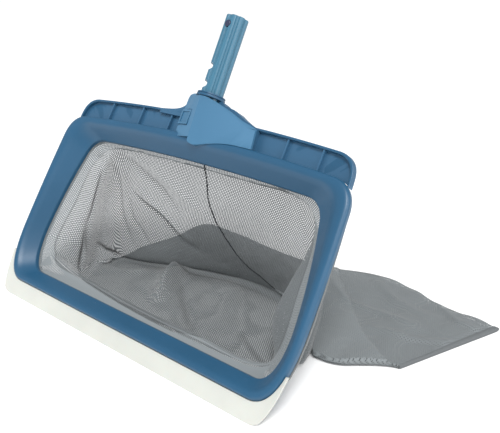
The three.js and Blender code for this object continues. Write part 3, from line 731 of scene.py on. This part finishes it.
# Where the hem's band ends, as (key, ring): the floor's cloth slumps over it here and there.
HEM_EDGE = [(0.0, 0.7), (0.6, 1.1), (9.5, 1.1), (11.4, 1.16), (12.3, 1.5), (12.8, 1.9), (13.0, 0.9),
            (13.4, 0.4), (13.8, 0.4), (14.4, 0.5), (15.3, 0.75), (16.0, 0.7)]
FLOOR_FROM_KEY = 11.4  # folds further around than this are on the floor's panel
FLOOR_SHEET = (11.5, 0.5)  # first and last key of the sheet on the floor, around past key 16
CREASE_RING = 5
TOP_MIDDLE_KEY = 6
LOWEST = 0.6  # least height of the cloth above the floor
END_HEIGHT = 4.5  # most that the tail's closed end rises


def spread_places(stretches):
    """Places that are closer together where the cloth has its finest folds."""
    starts, counts = np.array(stretches, float).T
    run = np.concatenate([[0], np.cumsum(np.diff(starts) * counts[:-1])])
    return np.interp(np.linspace(0, run[-1], int(run[-1]) + 1), run, starts)


bag_around = spread_places(BAG_COLUMNS)[:-1]
bag_along = spread_places(BAG_ROWS)


def bag_grid():
    """Points of the smooth bag."""
    rows = spline(bag_rings, bag_along, False)
    points = np.stack([spline(row, bag_around, True) for row in rows])
    near_mouth = ease(0.9, 0, bag_along)[:, None, None]
    first = points[0][None]
    return points + (exact_mouth(bag_around)[None] - first) * near_mouth


def surface_normals(points):
    """Unit normals that point into the bag."""
    around = np.roll(points, -1, 1) - np.roll(points, 1, 1)
    along = np.gradient(points, axis=0)
    normal = np.cross(along, around)
    return normal / np.maximum(np.linalg.norm(normal, axis=2, keepdims=True), 1e-9)


def grid_sample(grid, a, t):
    """Value of a grid over the bag at a place counted in keys and rings."""
    width = len(bag_around)
    row = np.interp(t, bag_along, np.arange(len(bag_along)))
    column = np.interp(a % len(MOUTH_KEYS), [*bag_around, len(MOUTH_KEYS)], np.arange(width + 1))
    i, j = int(row), int(column)
    s, r = row - i, column - j
    i2 = min(i + 1, len(bag_along) - 1)
    near = grid[i, j % width] * (1 - r) + grid[i, (j + 1) % width] * r
    far = grid[i2, j % width] * (1 - r) + grid[i2, (j + 1) % width] * r
    return near * (1 - s) + far * s


def traced(grid, line, steps):
    """Points of the surface along a line of (key, ring) places."""
    places = np.array(line, float)
    at = np.linspace(0, len(line) - 1, (len(line) - 1) * steps + 1)
    return np.array([grid_sample(grid, a, t) for a, t in spline(places, at, False)])


def line_gap(points, line):
    """Distance of each point from a run of points, and the share of the way along it."""
    best = np.full(points.shape[:-1], 1e9)
    share = np.zeros(points.shape[:-1])
    for i in range(len(line) - 1):
        step = line[i + 1] - line[i]
        length = max(float(step @ step), 1e-9)
        t = np.clip(((points - line[i]) @ step) / length, 0, 1)
        gap = np.linalg.norm(points - line[i] - t[..., None] * step, axis=-1)
        closer = gap < best
        best = np.where(closer, gap, best)
        share = np.where(closer, (i + t) / (len(line) - 1), share)
    return best, share


def left_of(x, y, line):
    """How far a plan point lies to the left of a plan line, negative to its right."""
    best = np.full(x.shape, 1e9)
    side = np.ones(x.shape)
    for (ax, ay), (bx, by) in zip(line, line[1:]):
        dx, dy = bx - ax, by - ay
        t = np.clip(((x - ax) * dx + (y - ay) * dy) / (dx * dx + dy * dy), 0, 1)
        gap = np.hypot(x - ax - dx * t, y - ay - dy * t)
        closer = gap < best
        best = np.where(closer, gap, best)
        side = np.where(closer, np.sign(dx * (y - ay) - dy * (x - ax)), side)
    return best * side


def hump(distance, width):
    return np.exp(-(distance / width) ** 2)


def open_folds(points, a):
    """Height towards the inside that the open bag's folds give each point, and the painted shade laid along
    them.
    """
    lift = np.zeros(a.shape)
    painted_shade = np.zeros(a.shape)
    for line, height, width, shadow in FOLDS:
        same_side = (a > FLOOR_FROM_KEY) == (line[0][0] > FLOOR_FROM_KEY)
        gap, share = line_gap(points, traced(points, line, 5))
        fade = np.sin(np.pi * np.clip(share, 0.04, 0.96)) ** 0.45 * same_side
        lift += height * hump(gap, width) * fade
        painted_shade = np.maximum(painted_shade, shadow * hump(gap, 0.55 * width) * fade)
    return lift, painted_shade


def tail_waves(points, overlap):
    """How far the tail's top layer stands above its smooth shape."""
    flat = points * (1, 1, 0)
    waves = 1.4 + 3.6 * ripple(flat, 66, 3) + 2.2 * ripple(flat * (1, 0.5, 1), 30, 4)
    for line, height, width in TAIL_FOLDS:
        gap, share = line_gap(flat, np.array([(*p, 0) for p in line], float))
        waves += height * hump(gap, width) * np.sin(np.pi * np.clip(share, 0.03, 0.97)) ** 0.5
    return np.maximum(waves + 2.6 * overlap, 0)


def wrinkled(points):
    """The bag with its folds, its painted shade, and how doubled it is, with painted light on the tail."""
    a, t = np.meshgrid(bag_around, bag_along)
    lift, painted_shade = open_folds(points, a)
    hanging = ease(0.5, 1.6, t) * ease(5.2, 4.6, t)
    soft = 3.4 * ripple(points, 62, 1) + 1.5 * ripple(points * (1, 1, 0.4), 26, 2)
    soft = soft + 0.5 * ripple(points, 9, 7)
    moved = points + surface_normals(points) * (lift + soft * hanging)[..., None]
    tail = ease(4.9, 5.6, t)
    on_top = ease(2.6, 3.2, a) * ease(9.6, 8.9, a)
    overlap = ease(-1.0, 1.0, left_of(points[..., 0], points[..., 1], TAIL_OVERLAP[::-1])) * tail
    moved[..., 2] += on_top * tail * tail_waves(points, overlap)
    end = ease(len(bag_rings) - 1.25, len(bag_rings) - 1.0, t)
    moved[..., 2] = moved[..., 2] * (1 - end) + np.minimum(moved[..., 2], END_HEIGHT) * end
    moved[..., 2] = np.maximum(moved[..., 2], LOWEST)
    past_hem = t - np.interp(a, *zip(*HEM_EDGE))
    hem = ease(0.05, -0.03, past_hem)
    # Painted shade: dark lines along the hem band's edge and along the tail's two folded edges.
    painted_shade = np.maximum(painted_shade, 0.5 * ease(0.05, 0.015, np.abs(past_hem)))
    painted_shade = np.maximum(painted_shade, 0.65 * tail * hump(a - 2.9, 0.3))
    painted_shade = np.maximum(painted_shade, 0.4 * tail * hump(a - 10.3, 0.6))
    # Hem and tail are doubled cloth; on the tail its lighter colour is also painted light.
    doubled_and_painted_light = np.maximum(hem, (0.7 + 0.3 * overlap) * tail)
    return moved, painted_shade, doubled_and_painted_light


def weave_places(points, folded):
    """Cloth coordinates in metres for the upper sheet and for the sheet on the floor."""
    middle_column = np.searchsorted(bag_around, TOP_MIDDLE_KEY)
    around_run = np.cumsum(np.linalg.norm(np.diff(points, axis=1, prepend=points[:, :1]), axis=2), axis=1)
    along_run = np.cumsum(np.linalg.norm(np.diff(points, axis=0, prepend=points[:1]), axis=2), axis=0)
    u = around_run - around_run[:, middle_column:middle_column + 1]
    lying = np.stack([folded[..., 0], folded[..., 1] - folded[..., 2]], axis=-1)
    return np.stack([u, along_run], axis=-1) * MM, lying * MM


def paint(obj, name, values):
    layer = obj.data.attributes.new(name, "FLOAT", "POINT")
    layer.data.foreach_set("value", np.ascontiguousarray(values, dtype=np.float32).ravel())


def add_weave_coordinates(obj, upper, lower):
    """UVs in metres of cloth: faces of the floor's sheet and of the tail take theirs from the plan."""
    mesh = obj.data
    vertex = np.zeros(len(mesh.loops), dtype=np.int32)
    mesh.loops.foreach_get("vertex_index", vertex)
    column = (vertex % len(bag_around)).reshape(-1, 4)
    lowest, highest = column.min(axis=1), column.max(axis=1)
    key = bag_around[np.where(highest - lowest > 1, 0, lowest)]
    ring = bag_along[(vertex // len(bag_around)).reshape(-1, 4).min(axis=1)]
    start, end = FLOOR_SHEET
    below = np.repeat((key > start) | (key < end) | (ring > CREASE_RING), 4)
    places = np.where(below[:, None], lower.reshape(-1, 2)[vertex], upper.reshape(-1, 2)[vertex])
    layer = mesh.uv_layers.new(name="weave")
    layer.data.foreach_set("uv", places.astype(np.float32).ravel())


def grounded(points):
    """Upright millimetres to the frame's metres, for a whole array."""
    origin = np.array(ground((0, 0, 0)))
    return points * MM + origin


def make_bag():
    """The knitted bag as one thin sheet, and the finished surface for what is sewn on it."""
    smooth_points = bag_grid()
    points, painted_shade, doubled_and_painted_light = wrinkled(smooth_points)
    rows, width = points.shape[:2]
    bag = add_mesh("bag_cloth", grounded(points.reshape(-1, 3)), strip_faces(rows, width, False, True), 180)
    add_weave_coordinates(bag, *weave_places(smooth_points, points))
    paint(bag, "painted_shade", painted_shade)
    paint(bag, "doubled_and_painted_light", doubled_and_painted_light)
    return bag, points


def cord_along(name, points, radius):
    """A round cord through points."""
    rows = []
    for i, here in enumerate(points):
        ahead = Vector(points[min(i + 1, len(points) - 1)]) - Vector(points[max(i - 1, 0)])
        side = ahead.cross(Vector((0.31, 0.17, 0.93))).normalized()
        up = ahead.cross(side).normalized()
        rows.append([Vector(here) + side * x + up * y for x, y in circle(radius, 6)])
    return loft(name, rows, False, 180)


def join(objects):
    first = objects[0]
    with bpy.context.temp_override(active_object=first, selected_editable_objects=objects,
                                   selected_objects=objects):
        bpy.ops.object.join()
    return first


def resampled(points, gap):
    """Points at an even distance along a run of points."""
    run = np.concatenate([[0], np.cumsum(np.linalg.norm(np.diff(points, axis=0), axis=1))])
    at = np.arange(0, run[-1], gap)
    return np.stack([np.interp(at, run, points[:, k]) for k in range(3)], axis=1)


SEAM_STEP = 0.8  # distance between the points that a sewn line is made through
STITCH_STEPS = 4
STITCH_PITCH = 5
STITCH_LEAN = 0.5
STITCH_RADIUS = 0.8
SEAM_RADIUS = 0.5


def make_stitches(name, surface, line):
    """A sewn line: a thin cord in the cloth with stitches that lean across it."""
    lifted = resampled(traced(surface, line, 24), SEAM_STEP) + (0, -0.4, 0.5)
    pieces = [cord_along(name, grounded(lifted[::3]), SEAM_RADIUS * MM)]
    for n, i in enumerate(range(0, len(lifted) - STITCH_STEPS, STITCH_PITCH)):
        lean = STITCH_LEAN if n % 2 else -STITCH_LEAN
        run = lifted[i:i + STITCH_STEPS + 1].copy()
        run[:, 0] += np.linspace(-lean, lean, len(run))
        run[:, 2] += 0.3
        pieces.append(cord_along("stitch", grounded(run), STITCH_RADIUS * MM))
    return join(pieces)


# The end tape's section: the bag's row it is on, how far past that row, and how far it stands off the cloth.
BINDING_ROWS = [(-3, 0, 0.35), (-3, 0, 0.9), (-1, 0, 1.0), (-1, 1.2, 0.8), (-1, 1.8, 0.2)]


def make_end_binding(surface):
    """A folded tape over the bag's closed end."""
    rows = []
    onward = surface[-1].mean(axis=0) - surface[-12].mean(axis=0)
    onward[2] = 0
    onward /= np.linalg.norm(onward)
    for ring, ahead, swell in BINDING_ROWS:
        edge = surface[ring][::4].copy()
        height = edge[:, 2:].mean()
        lifted = edge[:, 2] + np.sign(edge[:, 2] - height) * swell
        edge[:, 2] = np.maximum(lifted if swell > 0.3 else height + (edge[:, 2] - height) * 0.3, 0.3)
        rows.append([Vector(p) for p in grounded(edge + onward * ahead)])
    return loft("end_binding", rows, False, 60)


# ---- materials ----

class Nodes:
    """Short calls for building a material's nodes."""

    def __init__(self, name):
        self.material = bpy.data.materials.new(name)
        self.material.use_nodes = True
        self.tree = self.material.node_tree
        self.shader = self.tree.nodes["Principled BSDF"]

    def add(self, kind, sockets=None, **settings):
        """A node with its settings, and with values or links for some of its input sockets."""
        node = self.tree.nodes.new(kind)
        for key, value in settings.items():
            setattr(node, key, value)
        for key, value in (sockets or {}).items():
            self.put(node.inputs[key], value)
        return node

    def put(self, target, value):
        """Links an output to an input, or sets the input's own value."""
        if hasattr(value, "links"):
            self.tree.links.new(value, target)
        else:
            target.default_value = value

    def math(self, operation, *values, clamp=False):
        sockets = dict(enumerate(values))
        return self.add("ShaderNodeMath", sockets, operation=operation, use_clamp=clamp).outputs[0]

    def noise(self, scale, detail, roughness, distortion=0):
        sockets = {"Vector": self.position(), "Scale": scale, "Detail": detail,
                   "Roughness": roughness, "Distortion": distortion}
        return self.add("ShaderNodeTexNoise", sockets).outputs["Fac"]

    def position(self):
        return self.add("ShaderNodeTexCoord").outputs["Object"]

    def spread(self, value, low=0.3, high=0.7, to_low=0.0, to_high=1.0):
        sockets = dict(enumerate((value, low, high, to_low, to_high)))
        return self.add("ShaderNodeMapRange", sockets).outputs[0]

    def mix(self, share, first, second):
        sockets = {0: share, 6: first, 7: second}  # the share and the two colours
        return self.add("ShaderNodeMix", sockets, data_type="RGBA").outputs[2]

    def bump(self, height, strength, distance, normal=None):
        sockets = {"Strength": strength, "Distance": distance, "Height": height}
        if normal:
            sockets["Normal"] = normal
        return self.add("ShaderNodeBump", sockets).outputs["Normal"]

    def set(self, **values):
        for key, value in values.items():
            self.put(self.shader.inputs[key.replace("_", " ")], value)


def shade(colour, factor=1):
    return tuple(c * factor for c in colour) + (1.0,)


def moulded(name, colour, rough=0.42, grain=0.05):
    """Satin moulded plastic: faint flow marks, a fine spark-eroded grain and paler worn edges."""
    n = Nodes(name)
    flow = n.noise(9, 4, 0.55, distortion=0.6)
    fine = n.noise(2600, 2, 0.6)
    scuff = n.spread(n.noise(160, 6, 0.75, distortion=1.2), 0.56, 0.74)
    base = n.mix(n.spread(flow), shade(colour, 0.93), shade(colour, 1.07))
    edge = n.spread(n.add("ShaderNodeNewGeometry").outputs["Pointiness"], 0.515, 0.6)
    worn = n.mix(n.math("MULTIPLY", edge, 0.45), base, shade([min(1, c * 1.3 + 0.03) for c in colour]))
    n.set(Base_Color=n.mix(n.math("MULTIPLY", scuff, 0.08), worn, shade([c + 0.06 for c in colour])))
    uneven = n.math("ADD", n.math("MULTIPLY", scuff, 0.3), flow)
    n.set(Roughness=n.spread(uneven, 0.2, 1.1, rough - 0.07, rough + 0.1))
    n.set(Normal=n.bump(fine, grain, 0.0006, n.bump(flow, 0.12, 0.004)))
    n.set(IOR=1.49)
    return n.material


def rubber(name, colour):
    """Soft off-white lip: a fine matt skin with faint mould lines and a little grime."""
    n = Nodes(name)
    cloud = n.noise(14, 5, 0.6)
    speck = n.spread(n.noise(420, 4, 0.7), 0.62, 0.8)
    base = n.mix(n.spread(cloud), shade(colour, 0.95), shade(colour, 1.04))
    n.set(Base_Color=n.mix(n.math("MULTIPLY", speck, 0.22), base, shade(colour, 0.7)))
    n.set(Roughness=n.spread(cloud, 0.3, 0.7, 0.5, 0.66))
    n.set(Normal=n.bump(n.noise(1500, 3, 0.6), 0.1, 0.0006, n.bump(cloud, 0.1, 0.003)))
    n.set(Subsurface_Weight=0.06, Subsurface_Scale=0.004)
    return n.material


def metal(name, colour, rough=0.3):
    """Stainless steel with fine drawn lines and a few dull patches."""
    n = Nodes(name)
    lines = n.noise(900, 3, 0.6, distortion=0.3)
    patch = n.noise(60, 4, 0.6)
    n.set(Base_Color=n.mix(n.spread(patch, 0.35, 0.7), shade(colour, 0.88), shade(colour, 1.05)))
    n.set(Metallic=1.0, Roughness=n.spread(lines, 0.3, 0.7, rough - 0.08, rough + 0.14))
    n.set(Normal=n.bump(lines, 0.06, 0.0004))
    return n.material


def hole_distance(n, pitch):
    """Knitted mesh with staggered holes: distance from the nearest hole's middle, as a share of the pitch."""
    uv = n.add("ShaderNodeUVMap", uv_map="weave").outputs[0]
    parts = n.add("ShaderNodeSeparateXYZ", {0: uv})
    column = n.math("DIVIDE", parts.outputs[0], pitch)
    row = n.math("DIVIDE", parts.outputs[1], pitch * 0.86)
    stagger = n.math("MULTIPLY", n.math("MODULO", n.math("FLOOR", row), 2.0), 0.5)
    across = n.math("SUBTRACT", n.math("FRACT", n.math("ADD", column, stagger)), 0.5)
    down = n.math("SUBTRACT", n.math("FRACT", row), 0.5)
    return n.math("SQRT", n.math("ADD", n.math("POWER", across, 2.0), n.math("POWER", down, 2.0)))


def net(name, colour, hole, pitch=0.0027):
    """Fine knitted polyester net: see-through between its threads, denser and lighter where it is doubled,
    with painted shade from the bag's attribute and painted light on its tail.
    """
    n = Nodes(name)
    reach = hole_distance(n, pitch)
    painted_shade = n.add("ShaderNodeAttribute", attribute_name="painted_shade").outputs["Fac"]
    doubled_and_painted_light = n.add("ShaderNodeAttribute", attribute_name="doubled_and_painted_light").outputs["Fac"]
    open_size = n.math("MULTIPLY", hole, n.math("SUBTRACT", 1.0, n.math("MULTIPLY", doubled_and_painted_light, 0.2)))
    yarn_share = n.spread(reach, n.math("SUBTRACT", open_size, 0.07), n.math("ADD", open_size, 0.07))
    cloud = n.spread(n.noise(24, 4, 0.6))
    yarn = n.spread(n.noise(3000, 2, 0.5))
    base = n.mix(cloud, shade(colour, 0.92), shade(colour, 1.08))
    base = n.mix(n.math("MULTIPLY", yarn, 0.5), base, shade(colour, 1.25))
    # Lighter where doubled; on the tail this is painted light.
    base = n.mix(doubled_and_painted_light, base, shade([c * 1.6 for c in colour]))
    # Painted shade darkens the colour nearly to black.
    n.set(Base_Color=n.mix(painted_shade, base, shade(colour, 0.12)))
    n.set(Roughness=n.spread(yarn, 0, 1, 0.72, 0.9))
    # Painted shade also closes the net's holes.
    n.set(Alpha=n.math("MAXIMUM", yarn_share, n.math("MULTIPLY", painted_shade, 0.9)))
    n.set(Normal=n.bump(n.math("MULTIPLY", n.math("SUBTRACT", 0.7, reach), -1.0), 0.35, 0.0012))
    n.set(Sheen_Weight=0.2, Sheen_Roughness=0.5)
    return n.material


def thread(name, colour):
    """Twisted sewing thread."""
    n = Nodes(name)
    twist = n.noise(2200, 2, 0.5, distortion=1.5)
    n.set(Base_Color=n.mix(n.spread(twist, 0.35, 0.65), shade(colour, 0.7), shade(colour, 1.5)))
    n.set(Roughness=n.spread(twist, 0.3, 0.7, 0.7, 0.9), Normal=n.bump(twist, 0.4, 0.0005))
    return n.material


def tape(name, colour):
    """Woven tape: fine crossing yarns, without the net's holes."""
    n = Nodes(name)
    wobble = n.noise(900, 2, 0.5)
    yarns = []
    for axis in ("X", "Y", "Z"):
        sockets = {"Vector": n.position(), "Scale": 260, "Distortion": 0.6}
        yarns.append(n.add("ShaderNodeTexWave", sockets, bands_direction=axis).outputs["Fac"])
    crossing = n.math("MAXIMUM", yarns[0], yarns[1])
    weave = n.math("MULTIPLY", crossing, n.math("ADD", yarns[2], 0.5), clamp=True)
    base = n.mix(weave, shade(colour, 0.7), shade(colour, 1.25))
    n.set(Base_Color=n.mix(n.spread(wobble, 0.3, 0.7, 0, 0.4), base, shade(colour, 0.85)))
    n.set(Roughness=n.spread(wobble, 0.3, 0.7, 0.75, 0.92), Normal=n.bump(weave, 0.5, 0.0006))
    return n.material


def floor_paint(name):
    n = Nodes(name)
    cloud = n.noise(3, 3, 0.5)
    n.set(Base_Color=n.mix(n.spread(cloud), shade((0.93,) * 3), shade((0.95,) * 3)))
    n.set(Roughness=n.spread(cloud, 0.3, 0.7, 0.85, 0.95))
    return n.material


def dress(obj, material):
    obj.data.materials.clear()
    obj.data.materials.append(material)


def dress_node(name, material):
    """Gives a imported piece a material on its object, with its mesh left as it is."""
    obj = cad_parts[name]
    for slot in obj.material_slots:
        slot.link = "OBJECT"
        slot.material = material


def finish_piece(obj, material, nodes, body="net_frame"):
    dress(obj, material)
    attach(obj, body)
    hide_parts(*nodes)


# ---- stage and light ----

AREA_LIGHT_SIZE = 1.2


def make_stage():
    half = 14
    corners = [(-half, -half, 0), (half, -half, 0), (half, half, 0), (-half, half, 0)]
    floor = add_mesh("floor", corners, [(0, 1, 2, 3)])
    dress(floor, floor_paint("floor_paint"))


def add_lamp(name, kind, power, facing):
    data = bpy.data.lights.new(name, kind)
    data.energy = power
    lamp = add_object(name, data)
    lamp.rotation_euler = Vector(facing).to_track_quat("-Z", "Y").to_euler()
    return lamp


def area_light(name, where, power):
    """A square light that faces the object."""
    lamp = add_lamp(name, "AREA", power, -Vector(where))
    lamp.data.size = AREA_LIGHT_SIZE
    lamp.location = where
    return lamp


def make_light():
    world = bpy.data.worlds.new("studio")
    world.use_nodes = True
    background = world.node_tree.nodes["Background"].inputs
    background["Color"].default_value = (0.97, 0.985, 1, 1)
    background["Strength"].default_value = 0.47
    bpy.context.scene.world = world
    add_lamp("key", "SUN", 2.55, (-0.45, 0.5, -1.0)).data.angle = math.radians(22)
    area_light("softbox", (1.5, -0.1, 0.9), 14)
    area_light("fill", (-1.3, -1.1, 1.1), 13).visible_glossy = False
    bpy.context.scene.view_settings.view_transform = "Standard"


# ---- assembly ----

make_camera()
make_stage()
make_light()

blue = moulded("moulded_blue", (0.015, 0.077, 0.152))
light_blue = moulded("moulded_light_blue", (0.044, 0.14, 0.245), 0.4)
tube_blue = moulded("moulded_tube_blue", (0.036, 0.134, 0.209), 0.35)
dark_blue = moulded("moulded_dark_blue", (0.02, 0.065, 0.12), 0.5)
lip_white = rubber("lip_white", (0.52, 0.53, 0.49))
steel = metal("stainless", (0.62, 0.63, 0.64))
navy = moulded("button_navy", (0.018, 0.024, 0.06), 0.45)
net_grey = net("net_grey", (0.120, 0.132, 0.137), 0.27)
hem_tape = tape("hem_tape", (0.20, 0.21, 0.21))
binding_tape = tape("binding_tape", (0.12, 0.13, 0.135))
seam_thread = thread("seam_thread", (0.012, 0.014, 0.017))

finish_piece(make_rim(), blue, ["frame_ring"])
finish_piece(make_flange(), blue, ["top_flange"])
finish_piece(make_hood(), light_blue, ["neck_hood"])
finish_piece(make_latch(), light_blue, ["latch_button"], "latch_button")
finish_piece(make_tube(), tube_blue, ["handle_tube"])
finish_piece(make_collar(), blue, ["collar_ring"])
finish_piece(make_lip(), lip_white, ["scraper_lip"])
bag, bag_surface = make_bag()
finish_piece(bag, net_grey, ["bag_floor_panel", "bag_right_panel", "bag_top_right_panel",
                                          "bag_top_left_panel", "bag_left_panel"])
seam = make_stitches("bag_centre_seam", bag_surface, CENTRE_SEAM)
finish_piece(seam, seam_thread, [])
finish_piece(make_end_binding(bag_surface), binding_tape, ["bag_end_binding"])

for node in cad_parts:
    if node.startswith(("retainer_screw", "neck_screw")):
        dress_node(node, steel)
for node, material in (("latch_spring", steel), ("spring_clip", steel), ("handle_cross_pin", steel),
                       ("net_retainer", dark_blue), ("neck_rear_cover", blue),
                       ("clip_button_front", navy), ("clip_button_rear", navy),
                       ("hem_band", hem_tape), ("hem_cord", hem_tape)):
    dress_node(node, material)
